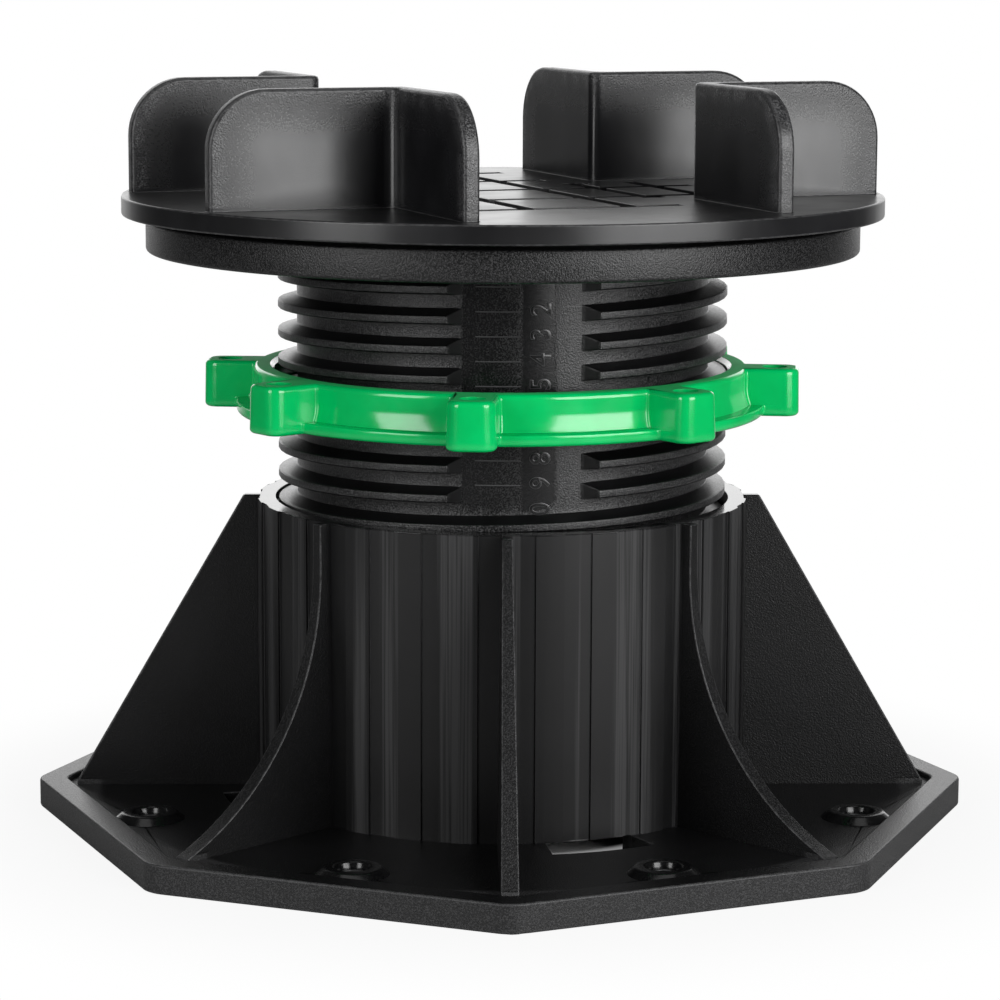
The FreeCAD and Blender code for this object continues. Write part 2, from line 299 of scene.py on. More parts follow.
class Finish(Graph):
    """Node graph of one finish, on Object coordinates. Widths and depths are in millimetres."""

    def __init__(self, name):
        self.material = bpy.data.materials.new(name)
        self.material.use_nodes = True
        super().__init__(self.material.node_tree)
        self.shader = self.nodes["Principled BSDF"]
        self.place = self.nodes.new("ShaderNodeTexCoord").outputs["Object"]

    def tint(self, factor, first, second):
        """Colour between two others, each a colour's three numbers or an output."""
        node = self.nodes.new("ShaderNodeMix")
        node.data_type = "RGBA"
        self.feed(node.inputs["Factor"], factor)
        for key, value in (("A", first), ("B", second)):
            self.feed(node.inputs[key], (*value, 1.0) if isinstance(value, tuple) else value)
        return node.outputs["Result"]

    def noise(self, width, detail=2.0, stretch=(1.0, 1.0, 1.0)):
        """Cloudy pattern with spots of about this width, drawn out along an axis whose stretch is small."""
        turn = self.nodes.new("ShaderNodeMapping")
        turn.inputs["Scale"].default_value = stretch
        self.links.new(self.place, turn.inputs["Vector"])
        node = self.nodes.new("ShaderNodeTexNoise")
        node.inputs["Scale"].default_value = 1.0 / (width * MM)
        node.inputs["Detail"].default_value = detail
        self.links.new(turn.outputs["Vector"], node.inputs["Vector"])
        return node.outputs["Fac"]

    def specks(self, spacing, size, share):
        """Scattered dots: one cell in each spacing, kept where its own random number is under the share."""
        node = self.nodes.new("ShaderNodeTexVoronoi")
        node.inputs["Scale"].default_value = 1.0 / (spacing * MM)
        self.links.new(self.place, node.inputs["Vector"])
        own = self.nodes.new("ShaderNodeSeparateColor")
        self.links.new(node.outputs["Color"], own.inputs["Color"])
        dot = self.ramp(node.outputs["Distance"], size / spacing, 0.6 * size / spacing)
        return self.times(dot, self.calc("LESS_THAN", own.outputs["Red"], share))

    def mark(self, name):
        """Number that the mesh carries under this name."""
        node = self.nodes.new("ShaderNodeAttribute")
        node.attribute_name = name
        return node.outputs["Fac"]

    def axes(self):
        """Places along X, Y and Z, in metres."""
        node = self.nodes.new("ShaderNodeSeparateXYZ")
        self.links.new(self.place, node.inputs["Vector"])
        return tuple(node.outputs)

    def relief(self, height, depth):
        """Bump of this depth from a height between 0 and 1."""
        node = self.nodes.new("ShaderNodeBump")
        node.inputs["Distance"].default_value = depth * MM
        self.links.new(height, node.inputs["Height"])
        self.links.new(node.outputs["Normal"], self.shader.inputs["Normal"])

    def grit(self, width, share=1.0):
        """Spark grain as bright grains on dark: a fine cloudy pattern with its contrast raised, times a
        share."""
        return self.times(self.ramp(self.noise(width, 1.0), 0.40, 0.72), share)

    def blacken(self, roughness, shine, grains=None, painted_edge_light=None, pale=0.05, tone=0.0016):
        """Black pigment with faint clouds from its tone to twice that, with pale grains and dust, and a
        painted
            highlight: paler in patches on the rounded edges."""
        painted_edge_grey, dust_grey = (0.03, 0.03, 0.031), (0.16, 0.16, 0.15)
        clouds = self.ramp(self.noise(16.0, 4.0), 0.3, 0.7)
        colour = self.tint(clouds, (tone, tone, 1.1 * tone), (2.0 * tone, 2.0 * tone, 2.2 * tone))
        if grains is not None:
            colour = self.tint(grains, colour, (pale, pale, 1.02 * pale))
        # Painted highlight: the marked rounded edges are tinted paler, in patches
        if painted_edge_light is not None:
            painted_edge_highlight = self.times(painted_edge_light, self.ramp(self.noise(1.4, 3.0), 0.38, 0.62, 0.25, 1.0))
            colour = self.tint(painted_edge_highlight, colour, painted_edge_grey)
        colour = self.tint(self.specks(spacing=7.0, size=0.16, share=0.10), colour, dust_grey)
        self.feed(self.shader.inputs["Base Color"], colour)
        self.feed(self.shader.inputs["Roughness"], roughness)
        self.shader.inputs["Specular IOR Level"].default_value = shine


def base_finish():
    """Black base: fine spark grain on foot and ribs, upright draw lines on the tube, a smooth rim on top. The
    foot's side has the most grain, the lip above it and the floor between the ribs have none."""
    grain_width, flat_grain, slope_grain, foot_grain, foot_veil = 0.34, 0.032, 0.144, 0.22, 0.095
    skin_rough, foot_rough, lip_rough, rim_rough = 0.40, 0.46, 0.33, 0.12
    f = Finish("black_base")
    x, y, z = f.axes()
    radius = f.length(x, y)
    tube = f.along(radius, TUBE_R + 0.25, TUBE_R + 0.15)
    rim = f.along(z, TUBE_TOP - 0.4, TUBE_TOP - 0.1)
    outer = f.along(radius, RIM_START_R, RIM_FULL_R)
    below_lip = f.along(z, FOOT_TOP - 0.02, FOOT_TOP - 0.08)
    foot = f.times(below_lip, outer)
    lip = f.times(f.minus(f.along(z, FOOT_TOP + 0.3, FOOT_TOP + 0.1), below_lip), outer)
    bed = f.times(f.along(z, FLOOR_Z + 0.2, FLOOR_Z + 0.1), f.rest(foot))
    draw = f.noise(0.42, 2.0, (1.0, 1.0, 0.008))
    lines = f.times(draw, f.ramp(f.noise(7.0, 1.0, (1.0, 1.0, 0.01)), 0.42, 0.6, 0.3, 1.0))
    skin = f.mix(lip, f.mix(foot, skin_rough, foot_rough), lip_rough)
    rough = f.mix(tube, skin, f.ramp(lines, 0.1, 0.7, 0.40, 0.50))
    share = f.mix(foot, f.mix(f.mark("slope"), flat_grain, slope_grain), foot_grain)
    share = f.mix(f.larger(bed, lip), share, 0.0)
    streaks = f.mix(tube, f.times(foot, foot_veil), f.ramp(lines, 0.25, 0.6, 0.009, 0.25))
    grains = f.plus(f.grit(grain_width, f.times(f.rest(tube), share)), streaks)
    # Painted highlight on the rounded edges, weaker on the tube's flutes
    painted_edge_light = f.times(f.mark("edge"), f.mix(tube, 1.0, 0.25))
    f.blacken(f.mix(rim, rough, rim_rough), shine=0.28, grains=grains, painted_edge_light=painted_edge_light, pale=0.10)
    height = f.mix(tube, f.times(f.noise(grain_width, 2.0), 0.6), f.times(lines, 0.05))
    f.relief(f.times(height, f.rest(rim)), depth=0.14)
    return f.material


def head_finish():
    """Black head: satin faces with faint flow marks, speckled towards the fins' ends and tops and pebbled
    close to them. How close a place is comes from the circle that rounds the fins' top corners."""
    grain_width, worn_rough = 0.36, 0.38
    f = Finish("black_head")
    x, y, z = f.axes()
    fins = f.along(z, PLATE_TOP + 0.2, PLATE_TOP + 1.0)
    above = f.larger(f.minus(z, (FIN_TOP - FIN_ROUND) * MM), 0.0)
    ends = []
    for place, reach in ((x, FIN_REACH_X), (y, FIN_REACH_Y)):
        beyond = f.minus(f.calc("ABSOLUTE", place), (reach - FIN_ROUND) * MM)
        ends.append(f.length(f.larger(beyond, 0.0), above))
    far_out = f.larger(*ends)
    near_edge = f.times(f.along(far_out, FIN_ROUND - 5.0, FIN_ROUND - 0.4), fins)
    border = f.times(f.along(far_out, 0.0, FIN_ROUND), fins)
    grain = f.noise(grain_width, 2.0)
    speckled = f.times(border, f.ramp(grain, 0.25, 0.75, 0.3, 1.7))
    pebbled = f.times(near_edge, f.ramp(f.noise(4.0, 2.0), 0.32, 0.62, 0.3, 1.0))
    flow = f.noise(9.0, 2.0, (1.0, 1.0, 0.5))
    satin = f.mix(fins, f.ramp(flow, 0.3, 0.7, 0.28, 0.33), f.ramp(flow, 0.3, 0.7, 0.20, 0.25))
    grains = f.grit(grain_width, f.times(pebbled, 0.8))
    # Painted highlight on the rounded edges, from the edge mark
    f.blacken(f.mix(speckled, satin, worn_rough), shine=0.39, grains=grains, painted_edge_light=f.mark("edge"), pale=0.11,
              tone=0.0045)
    pebbles = f.times(grain, f.mix(0.3, pebbled, border))
    f.relief(f.plus(pebbles, f.times(f.noise(0.4, 1.0), 0.03)), depth=0.11)
    return f.material


def grained_finish(name, width, depth, rough, shine, pale, mark=None):
    """Black with an even spark grain, on the whole piece or as strong as the mark that the mesh carries. A
    second mark, smooth, takes its dullness away."""
    rough_spread, smooth_rough = 0.06, 0.20
    f = Finish(name)
    share = f.mark(mark) if mark else 1.0
    grain = f.noise(width, 2.0)
    rough = f.ramp(grain, 0.3, 0.7, rough - rough_spread, rough + rough_spread)
    if mark:
        rough = f.mix(f.mark("smooth"), rough, smooth_rough)
    f.blacken(rough, shine, grains=f.grit(width, share), pale=pale)
    f.relief(f.times(grain, share), depth)
    return f.material


def scale_finish():
    """Black of the scale's raised lines and figures, with a painted highlight: paler on the lines' upper
    sides and the figures' sides.
    """
    f = Finish("black_scale")
    clouds = f.noise(1.5, 2.0)
    f.blacken(f.ramp(clouds, 0.3, 0.7, 0.22, 0.265), shine=0.4, grains=f.mark("painted_edge_highlight"), pale=0.06)
    f.relief(clouds, depth=0.005)
    return f.material


def ring_finish():
    """Glossy green: clean pigment with slow clouds and a few specks, a faint orange-peel surface and a dull
    top."""
    deep_green, light_green, speck_green = (0.0, 0.36, 0.083), (0.0, 0.405, 0.098), (0.3, 0.75, 0.45)
    top_rough = 0.75
    f = Finish("green_gloss")
    clouds = f.ramp(f.noise(9.0, 3.0), 0.3, 0.7)
    colour = f.tint(clouds, deep_green, light_green)
    colour = f.tint(f.specks(spacing=5.0, size=0.12, share=0.12), colour, speck_green)
    f.feed(f.shader.inputs["Base Color"], colour)
    z = f.axes()[2]
    top = f.along(z, RING_TOP - 0.08, RING_TOP - 0.02)
    gloss = f.ramp(f.noise(3.0, 3.0), 0.3, 0.7, 0.11, 0.15)
    f.feed(f.shader.inputs["Roughness"], f.mix(top, gloss, top_rough))
    f.shader.inputs["Specular IOR Level"].default_value = 0.5
    f.relief(f.noise(2.2, 2.0), depth=0.01)
    return f.material


black_base = base_finish()
black_head = head_finish()
black_flange = grained_finish("black_flange", width=0.32, depth=0.12, rough=0.36, shine=0.32, pale=0.024)
black_thread = grained_finish("black_thread", width=0.32, depth=0.12, rough=0.34, shine=0.34, pale=0.040,
                              mark="grain")
black_scale = scale_finish()
black_boss = grained_finish("black_boss", width=0.4, depth=0.004, rough=0.20, shine=0.36, pale=0.004)
green_gloss = ring_finish()


def relief_radius(angle):
    """Largest radius left beside a plain strip at an angle from its middle: the root inside the strip, then a
    flat ramp up to the crest."""
    root_reach = math.sqrt(ROOT_R ** 2 - STRIP_HALF ** 2)
    crest_reach = math.sqrt(CREST_R ** 2 - RAMP_HALF ** 2)
    slope = (RAMP_HALF - STRIP_HALF) / (crest_reach - root_reach)
    least = 1e-3
    a = np.abs(np.asarray(angle))
    below = slope * np.cos(a) - np.sin(a)
    ramp = np.where(below > least, (slope * root_reach - STRIP_HALF) / np.maximum(below, least), UNCUT_R)
    return np.maximum(ramp, ROOT_R)


def wrap(angle):
    """Angle brought into the half turn on either side of zero."""
    return (angle + math.pi) % (2 * math.pi) - math.pi


def thread_profile():
    """One pitch of the thread, (height, radius) from one root's middle to the next, its edges rounded. The
    flank on top slopes, the one below is almost level."""
    half, inside = PITCH / 2, 30.0
    box = [(-half, inside), (half, inside), (half, ROOT_R), (FLANK_TOP, ROOT_R), (CREST_HALF, CREST_R),
           (-CREST_HALF, CREST_R), (-FLANK_LOW, ROOT_R), (-half, ROOT_R)]
    line = rounded(box, [0, 0, 0, 0.3, 0.4, 0.4, 0.25, 0], 5)
    line = line[line[:, 1] > ROOT_R - 0.01]
    return line[np.argsort(line[:, 0], kind="stable")]


def cut_down(z, r, height):
    """Thread profile cut down to a lower crest: radii shrink towards the root, each flank keeps its slope and
    the crest grows wider to meet it."""
    share = height / (CREST_R - ROOT_R)
    flank = np.where(z > 0, FLANK_TOP, FLANK_LOW)
    edge = flank - (flank - CREST_HALF) * share
    far = np.abs(z)
    beyond_crest = np.where(far < flank, flank - (flank - far) * share, far)
    moved = np.where(far < CREST_HALF, far * edge / CREST_HALF, beyond_crest)
    return np.sign(z) * moved, ROOT_R + (r - ROOT_R) * share


def turn_angles():
    """Angles of one turn from the front strip's middle: close together on the strip's panels and ramps, wider
    on the open thread, mirrored to the rear strip and repeated for the other half."""
    panels = np.radians([0, 0.66, 1.5, 4.0, 8.3, 9.6, 12.3, 13.2, 15.4])
    ramp = np.linspace(math.asin(STRIP_HALF / ROOT_R), math.asin(RAMP_HALF / CREST_R), 6)
    open_thread = np.radians([19.4, 20.4, 22, 26, *range(30, 91, 6)])
    quarter = np.concatenate([panels, ramp, open_thread])
    half = np.concatenate([quarter, math.pi - quarter[-2::-1]])
    return np.concatenate([half[:-1], half[:-1] + math.pi])


def thread_marks(t, r, crest):
    """Marks of the thread's points: full grain on crest and root. Each panel of a plain strip has its own
    share of grain, and is the smoother the less it has."""
    panel_ends, panel_grain, last_grain = (-12.8, -4.0, -0.6, 9.0), [0.25, 0.3, 0.45, 0.15], 0.85
    across = np.degrees(wrap(t))
    panel = np.select([across < end for end in panel_ends], panel_grain, last_grain)[:, None]
    plain = np.broadcast_to(crest < ROOT_R + 0.01, r.shape)
    land = ((np.abs(r - CREST_R) < 0.08) | (r < ROOT_R + 0.05)).astype(float)
    grain = land * np.where(plain, panel, 1.0)
    smooth = np.where(plain, np.maximum(1.0 - panel / last_grain, 0.0), 0.0)
    return grain, smooth


def threaded_stem():
    """Stem below the flange: the thread's profile carried up a helix, cut down to the ramps beside the plain
    strips and closed by the hollow core. Turns are welded along the middle of the root."""
    turn, strip = turn_angles(), math.radians(STRIP_TURN)
    t = (turn[None, :] + 2 * math.pi * np.arange(THREAD_TURNS)[:, None]).ravel()
    t = np.append(t, 2 * math.pi * THREAD_TURNS)
    start = CREST_PHASE + PITCH * STRIP_TURN / 360.0 + PITCH * FIRST_PITCH
    middle = start + PITCH * t / (2 * math.pi)
    front = np.where(middle > FRONT_STRIP_LOW, relief_radius(wrap(t)), UNCUT_R)
    rear = np.where(middle > REAR_STRIP_LOW, relief_radius(wrap(t - math.pi)), UNCUT_R)
    crest = np.minimum(CREST_R, np.minimum(front, rear))[:, None]
    profile = thread_profile()
    rise, r = cut_down(profile[None, :, 0], profile[None, :, 1], crest - ROOT_R)
    z = middle[:, None] + rise
    top = FLANGE_LOW + 1.0
    r = np.where((z < STEM_LOW) | (z > top), ROOT_R, r)
    z = np.clip(z, STEM_LOW, top)
    a = (t + strip)[:, None]
    points = np.stack([r * np.cos(a), r * np.sin(a), z], axis=-1).reshape(-1, 3)
    core = [(ROOT_R, top), (CORE_R, top), (CORE_R, STEM_LOW), (ROOT_R, STEM_LOW)]
    wall = turned_points(core, strip + turn).reshape(-1, 3)
    wall_faces = quads(len(turn), len(core), True, False) + len(points)
    faces = np.concatenate([quads(len(t), len(profile)), wall_faces])
    grain, smooth = (np.append(values, np.zeros(len(wall))) for values in thread_marks(t, r, crest))
    return put("stem_thread", np.concatenate([points, wall]), faces, "stem", black_thread,
               {"grain": grain, "smooth": smooth}, 20.0)


def on_strip(across, height, rise):
    """Point on the front plain strip: across is the length round the root from the strip's middle, height is
    along Z and rise is outwards from the root."""
    angle = math.radians(STRIP_TURN) + across / ROOT_R
    radius = ROOT_R + rise
    return np.stack(np.broadcast_arrays(radius * np.cos(angle), radius * np.sin(angle), height), axis=-1)


def raised_lines(name, heights, start, end, half, rise):
    """Low straight lines round the strip, one for each height: a section with sloped sides carried from start
    to end, drawn in to a point at both ends to close it."""
    top_half = 0.55 * half
    section = np.array([(-half, -SCALE_SUNK), (half, -SCALE_SUNK), (top_half, rise), (-top_half, rise)])
    across = np.concatenate([[start], np.linspace(start, end, 9), [end]])
    size = np.ones(len(across))
    size[[0, -1]] = 0.0
    up = size[:, None] * section[None, :, 0]
    out = section[:, 1].mean() + size[:, None] * (section[None, :, 1] - section[:, 1].mean())
    lines = on_strip(across[None, :, None], np.asarray(heights)[:, None, None] + up[None], out[None])
    first_points = np.arange(len(heights)) * len(across) * len(section)
    faces = quads(len(across), len(section), False, True)[None] + first_points[:, None, None]
    # Painted highlight: the upper side of each line is marked to be made paler, as if lit from above
    upper = np.broadcast_to(section[:, 0] > 0, lines.shape[:3])
    return put(name, lines, faces.reshape(-1, 4), "stem", black_scale, {"painted_edge_highlight": upper})


def scale_figures():
    """Raised figures of the scale: each outline is filled and given thickness flat, then its width runs up
    the strip and its height runs round it."""
    foot, tall, wide, raised, two_digit_drop = 5.6, 4.3, 5.2, 0.22, 1.6
    work = bmesh.new()
    for figure in range(2, 11):
        outline = bpy.data.curves.new("figure", "FONT")
        outline.body = str(figure)
        outline.align_x = "CENTER"
        outline.extrude, outline.bevel_depth, outline.bevel_resolution = 0.05, 0.022, 1
        flat = place_in_scene("figure", outline)
        mesh = finished_mesh(flat)
        bpy.data.objects.remove(flat)
        x, y, z = read(mesh.vertices, "co", 3).T
        upright = (y - y.min()) / (y.max() - y.min())
        rise = np.where(z > 0, raised * z / z.max(), -SCALE_SUNK)
        level = SCALE_TOP - SCALE_STEP * figure - (two_digit_drop if figure > 9 else 0.0)
        placed = on_strip(foot - tall * upright, level + wide * x, rise) * MM
        mesh.vertices.foreach_set("co", placed.ravel())
        work.from_mesh(mesh)
        bpy.data.meshes.remove(mesh)
    bmesh.ops.remove_doubles(work, verts=work.verts, dist=TOUCHING)
    bmesh.ops.recalc_face_normals(work, faces=work.faces)
    mesh = bpy.data.meshes.new("scale_figures")
    work.to_mesh(mesh)
    work.free()
    # Painted highlight: the figures' sides, below their tops, are marked to be made paler
    rise = np.hypot(*read(mesh.vertices, "co", 3).T[:2]) / MM - ROOT_R
    carry(mesh, "painted_edge_highlight", rise < 0.95 * rise.max())
    return dress("scale_figures", mesh, "stem", black_scale, 30.0)


def stem_flange():
    """Flange: a rounded section turned round Z, with the seat ring the head turns on."""
    inner = CORE_R - 0.5
    corners = [(SWIVEL_R, SWIVEL_LOW), (inner, SWIVEL_LOW), (inner, FLANGE_LOW), (FLANGE_R, FLANGE_LOW),
               (FLANGE_R, FLANGE_TOP), (SEAT_R, FLANGE_TOP), (SEAT_R, SEAT_TOP), (SWIVEL_R, SEAT_TOP)]
    section = rounded(corners, [0.2, 0.1, 0.1, 0.8, 0.5, 0.2, 0.2, 0.2], 6)
    points, faces = turned_copies(section, 192, [(0.0, 0.0)])
    return put("stem_flange", points, faces, "stem", black_flange)


def ring_outline(base, lug_end, lug_half, corner):
    """Plan outline of the lock ring at one level: arcs at the base radius and lugs with rounded corners."""
    foot_round, foot_gap, steps = 0.6, 0.03, 7
    foot = math.sqrt(base ** 2 - lug_half ** 2)
    edge = math.atan2(lug_half, foot) + foot_gap
    arc = np.linspace(edge, 2 * math.pi / LUG_COUNT - edge, 16)
    lug = [(foot, -lug_half), (lug_end, -lug_half), (lug_end, lug_half), (foot, lug_half)]
    before = (base * math.cos(-edge), base * math.sin(-edge))
    after = (before[0], -before[1])
    radii = [0, foot_round, corner, corner, foot_round, 0]
    bend = rounded([before, *lug, after], radii, steps)[steps:-steps]
    sector = np.concatenate([bend, np.stack([base * np.cos(arc), base * np.sin(arc)], axis=-1)])
    turn = evenly_round(LUG_TURN, LUG_COUNT)
    c, s = np.cos(turn)[:, None], np.sin(turn)[:, None]
    x = c * sector[None, :, 0] - s * sector[None, :, 1]
    y = s * sector[None, :, 0] + c * sector[None, :, 1]
    return np.stack([x, y], axis=-1).reshape(-1, 2)


def ring_level(base, inset, z):
    """Row of the lock ring's points at one height: its outline drawn in by the inset. The lugs narrow
    upwards."""
    side_slope, end_share = 0.035, 0.4
    draft = side_slope * (z - RING_LOW)
    lug_end = LUG_END - inset - end_share * draft
    plan = ring_outline(base - inset, lug_end, LUG_HALF - inset - draft, LUG_ROUND - inset)
    return np.column_stack([plan, np.full(len(plan), z)])


def ring_circle(radius, z):
    """Row of the lock ring's points on a circle, each at the angle of its point on the band."""
    plan = ring_level(RING_BAND, 0, z)
    angle = np.arctan2(plan[:, 1], plan[:, 0])
    return np.column_stack([radius * np.cos(angle), radius * np.sin(angle), np.full(len(plan), z)])


def cut_lug_holes(piece):
    """Cuts a round blind hole, a little narrower at its end, into the top of each lug."""
    over, taper = 1.0, 0.2
    mouth, end = RING_TOP + over, RING_TOP - LUG_HOLE_DEPTH
    pin = [(0, mouth), (LUG_HOLE_R, mouth), (LUG_HOLE_R - taper, end), (0, end)]
    centres = centres_round(LUG_HOLE_CIRCLE_R, LUG_TURN, LUG_COUNT, RING_SHIFT)
    mesh = grid_mesh("lug_holes", *turned_copies(pin, 28, centres, closed=False))
    weld(mesh)
    cutter = place_in_scene("lug_holes", mesh)
    cut = piece.modifiers.new("holes", "BOOLEAN")
    cut.operation, cut.solver, cut.object = "DIFFERENCE", "EXACT", cutter
    result = settle(piece)
    bpy.data.objects.remove(cutter)
    return result


def lock_ring():
    """Lock ring: outlines stacked level by level from bore to bore. The band flares in a hollow curve to the
    lip, and each rounded edge is an inset that follows a quarter circle. The lugs' holes are cut last."""
    edge_round, step_round, flare_r, low_chamfer, top_chamfer = 1.0, 0.35, 9.0, 0.4, 0.9
    bend = np.linspace(0, math.pi / 2, 6)
    flare = np.radians([24, 20, 16, 12, 8, 4, 0])
    step = RING_LOW + LIP_TALL
    rows = [ring_circle(RING_BORE, RING_TOP - top_chamfer), ring_circle(RING_BORE, RING_LOW + low_chamfer),
            ring_circle(RING_BORE + low_chamfer, RING_LOW)]
    for b in bend:
        inset = edge_round - edge_round * math.sin(b)
        rows.append(ring_level(RING_LIP, inset, RING_LOW + edge_round - edge_round * math.cos(b)))
    for b in bend:
        base = RING_LIP - step_round + step_round * math.cos(b)
        rows.append(ring_level(base, 0, step - step_round + step_round * math.sin(b)))
    for b in flare:
        base = RING_BAND + flare_r - flare_r * math.cos(b)
        rows.append(ring_level(base, 0, step + 0.1 + flare_r * (math.sin(flare[0]) - math.sin(b))))
    rows.append(ring_level(RING_BAND, 0, RING_TOP - 1.2 * edge_round))
    for b in bend:
        inset = edge_round - edge_round * math.cos(b)
        rows.append(ring_level(RING_BAND, inset, RING_TOP - edge_round + edge_round * math.sin(b)))
    rows.append(ring_circle(RING_BORE + top_chamfer, RING_TOP))
    points = np.stack(rows) + [*RING_SHIFT, 0.0]
    faces = quads(len(rows), points.shape[1], True, True)
    piece = put("lock_ring_green", points, faces, "ring", green_gloss)
    smooth_shading(cut_lug_holes(piece), 40.0)
    return piece


def flatten_shading(mesh):
    """Shading normals that keep large faces flat and sharp edges sharp: at each corner of a face the normals
    of the faces round that point are added up, each one times the square of its face's area, as long as they
    lean less than 50 degrees from the corner's own face."""
    most_lean = math.radians(50)
    count, loops = len(mesh.polygons), len(mesh.loops)
    normals = read(mesh.polygons, "normal", 3)
    areas = read(mesh.polygons, "area")
    areas = areas / areas.max() + 1e-9
    face = np.repeat(np.arange(count), read(mesh.polygons, "loop_total", kind=np.int32))
    point = read(mesh.loops, "vertex_index", kind=np.int32)
    around = np.bincount(point, minlength=len(mesh.vertices))
    first = np.cumsum(around) - around
    by_point = np.argsort(point, kind="stable")
    shared = around[point]
    mine = np.repeat(np.arange(loops), shared)
    step = np.arange(len(mine)) - np.repeat(np.cumsum(shared) - shared, shared)
    other = face[by_point[first[point[mine]] + step]]
    lean = (normals[face[mine]] * normals[other]).sum(axis=1)
    weight = np.where(lean > math.cos(most_lean), areas[other] ** 2, 0.0)
    total = np.zeros((loops, 3))
    np.add.at(total, mine, normals[other] * weight[:, None])
    total /= np.maximum(np.linalg.norm(total, axis=1, keepdims=True), 1e-30)
    mesh.normals_split_custom_set(total)


def edge_weights(work, edge_width, inner):
    """Gives each sharp edge the width of its rounding in millimetres as its bevel weight, and others none."""
    sharp = math.radians(30)
    middles = np.array([(e.verts[0].co + e.verts[1].co) / 2 for e in work.edges]) / MM
    turned = np.array([e.calc_face_angle_signed(0.0) for e in work.edges])
    width = edge_width(*middles.T)
    width = np.where(turned < 0, np.minimum(width, inner), width)
    weights = np.where(np.abs(turned) > sharp, width, 0.0)
    layer = work.edges.layers.float.new("bevel_weight_edge")
    for edge, weight in zip(work.edges, weights):
        edge[layer] = weight


def softened(node, name, body, material, edge_width, inner, join_level=True, reshape=None):
    """Copy of a CAD node with its flat faces joined and its sharp edges rounded. edge_width gives the
    rounding from the edges' middles in millimetres, and inner is the most that an inner corner gets. The
    rounded faces carry the mark edge, other sloped ones the mark slope, told by their normals' Z. Level
    faces stay as they are in CAD where join_level is off."""
    level, slope_from, slope_to = 0.99, 0.1, 0.97
    work = bmesh.new()
    work.from_mesh(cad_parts[node].data)
    bmesh.ops.remove_doubles(work, verts=work.verts, dist=2 * TOUCHING)
    joined = work.edges
    if not join_level:
        joined = [e for e in work.edges if min(abs(f.normal.z) for f in e.link_faces) < level]
    bmesh.ops.dissolve_limit(work, angle_limit=math.radians(1.0), verts=work.verts, edges=joined)
    if reshape:
        reshape(work)
    edge_weights(work, edge_width, inner)
    mesh = bpy.data.meshes.new(name)
    work.to_mesh(mesh)
    work.free()
    piece = dress(name, mesh, body, material, 30.0)
    mesh.materials.append(material)
    soften = piece.modifiers.new("edges", "BEVEL")
    soften.width, soften.segments, soften.material = MM, 2, 1
    soften.limit_method, soften.use_clamp_overlap = "WEIGHT", False
    result = settle(piece)
    side = read(result.polygons, "material_index", kind=np.int32)
    lean = read(result.polygons, "normal", 3)[:, 2]
    carry(result, "edge", side, "FACE")
    carry(result, "slope", (lean > slope_from) & (lean < slope_to) & (side == 0), "FACE")
    result.polygons.foreach_set("material_index", np.zeros_like(side))
    result.materials.pop(index=1)
    flatten_shading(result)
    return piece


def trade_flutes(work):
    """Tube's outside with its raised and its recessed strips traded: each point's radius goes to the other
    one."""
    for point in work.verts:
        radius = math.hypot(point.co.x, point.co.y) / MM
        if FLUTE_R - 0.03 < radius < TUBE_R + 0.03 and point.co.z / MM > FLOOR_Z - 0.05:
            scale = (FLUTE_R + TUBE_R - radius) / radius
            point.co.x *= scale
            point.co.y *= scale


def base_edges(x, y, z):
    """Rounding of the base's edges: slight on the flutes, wide on the foot's outline, small elsewhere."""
    radius = np.hypot(x, y)
    tube = (radius < TUBE_R + 0.3) & (z > FLOOR_Z + 0.1)
    outline = (z < FOOT_TOP + 0.1) & (radius > RIM_START_R - 1.0)
    return np.select([tube, outline], [0.12, 0.45], 0.28)


def head_edges(x, y, z):
    """Rounding of the head's edges: full on the fins, slight on the grooves, small on the plate's outline."""
    fins = z > PLATE_TOP + 0.5
    grooves = (z > PLATE_TOP - 1.5) & (np.hypot(x, y) < PLATE_R - 1.0)
    return np.select([fins, grooves], [0.8, 0.15], 0.4)


def fixing_bosses():
    """Low domed rings round the fixing holes: a section with a rounded shoulder and a hole that narrows
    downwards, turned round each hole."""
    corners = [(2.65, FLOOR_Z - 2.0), (7.9, FLOOR_Z - 0.4), (7.2, FLOOR_Z + 0.1), (5.6, FLOOR_Z + 1.45),
               (3.7, FLOOR_Z + 1.5), (3.2, FLOOR_Z + 0.4)]
    section = rounded(corners, [0.1, 0.1, 0.8, 1.3, 0.6, 0.6], 7)
    centres = centres_round(BOSS_CIRCLE_R, FOOT_TURN + 180.0 / FOOT_SIDES, FOOT_SIDES)
    points, faces = turned_copies(section, 48, centres)
    return put("fixing_bosses", points, faces, "base", black_boss)


# Pieces, and the CAD nodes that they replace
thread = threaded_stem()
stem_flange()
tick_heights = SCALE_TOP - 0.5 - SCALE_STEP * np.arange(1, 10)
raised_lines("scale_ticks", tick_heights, start=-9.6, end=-0.5, half=0.26, rise=0.2)
seam_heights = SEAM_LOW + PITCH * np.arange(SEAM_COUNT)
raised_lines("strip_seams", seam_heights, start=8.4, end=12.2, half=0.14, rise=0.08)
scale_figures()
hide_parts("jack_stem")
ring = lock_ring()
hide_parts("lock_ring")
base = softened("base", "base_moulding", "base", black_base, base_edges, inner=0.0,
                join_level=False, reshape=trade_flutes)
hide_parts("base")
head = softened("joist_head", "head_moulding", "head", black_head, head_edges, inner=0.22)
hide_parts("joist_head")
fixing_bosses()
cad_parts["head_keeper"].data.materials.clear()
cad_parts["head_keeper"].data.materials.append(black_scale)


def from_camera(x, y, z):
    """Point given in the camera's own heading, brought into the part's frame."""
    c, s = math.cos(CAMERA_HEADING), math.sin(CAMERA_HEADING)
    return (x * c + y * s, -x * s + y * c, z)


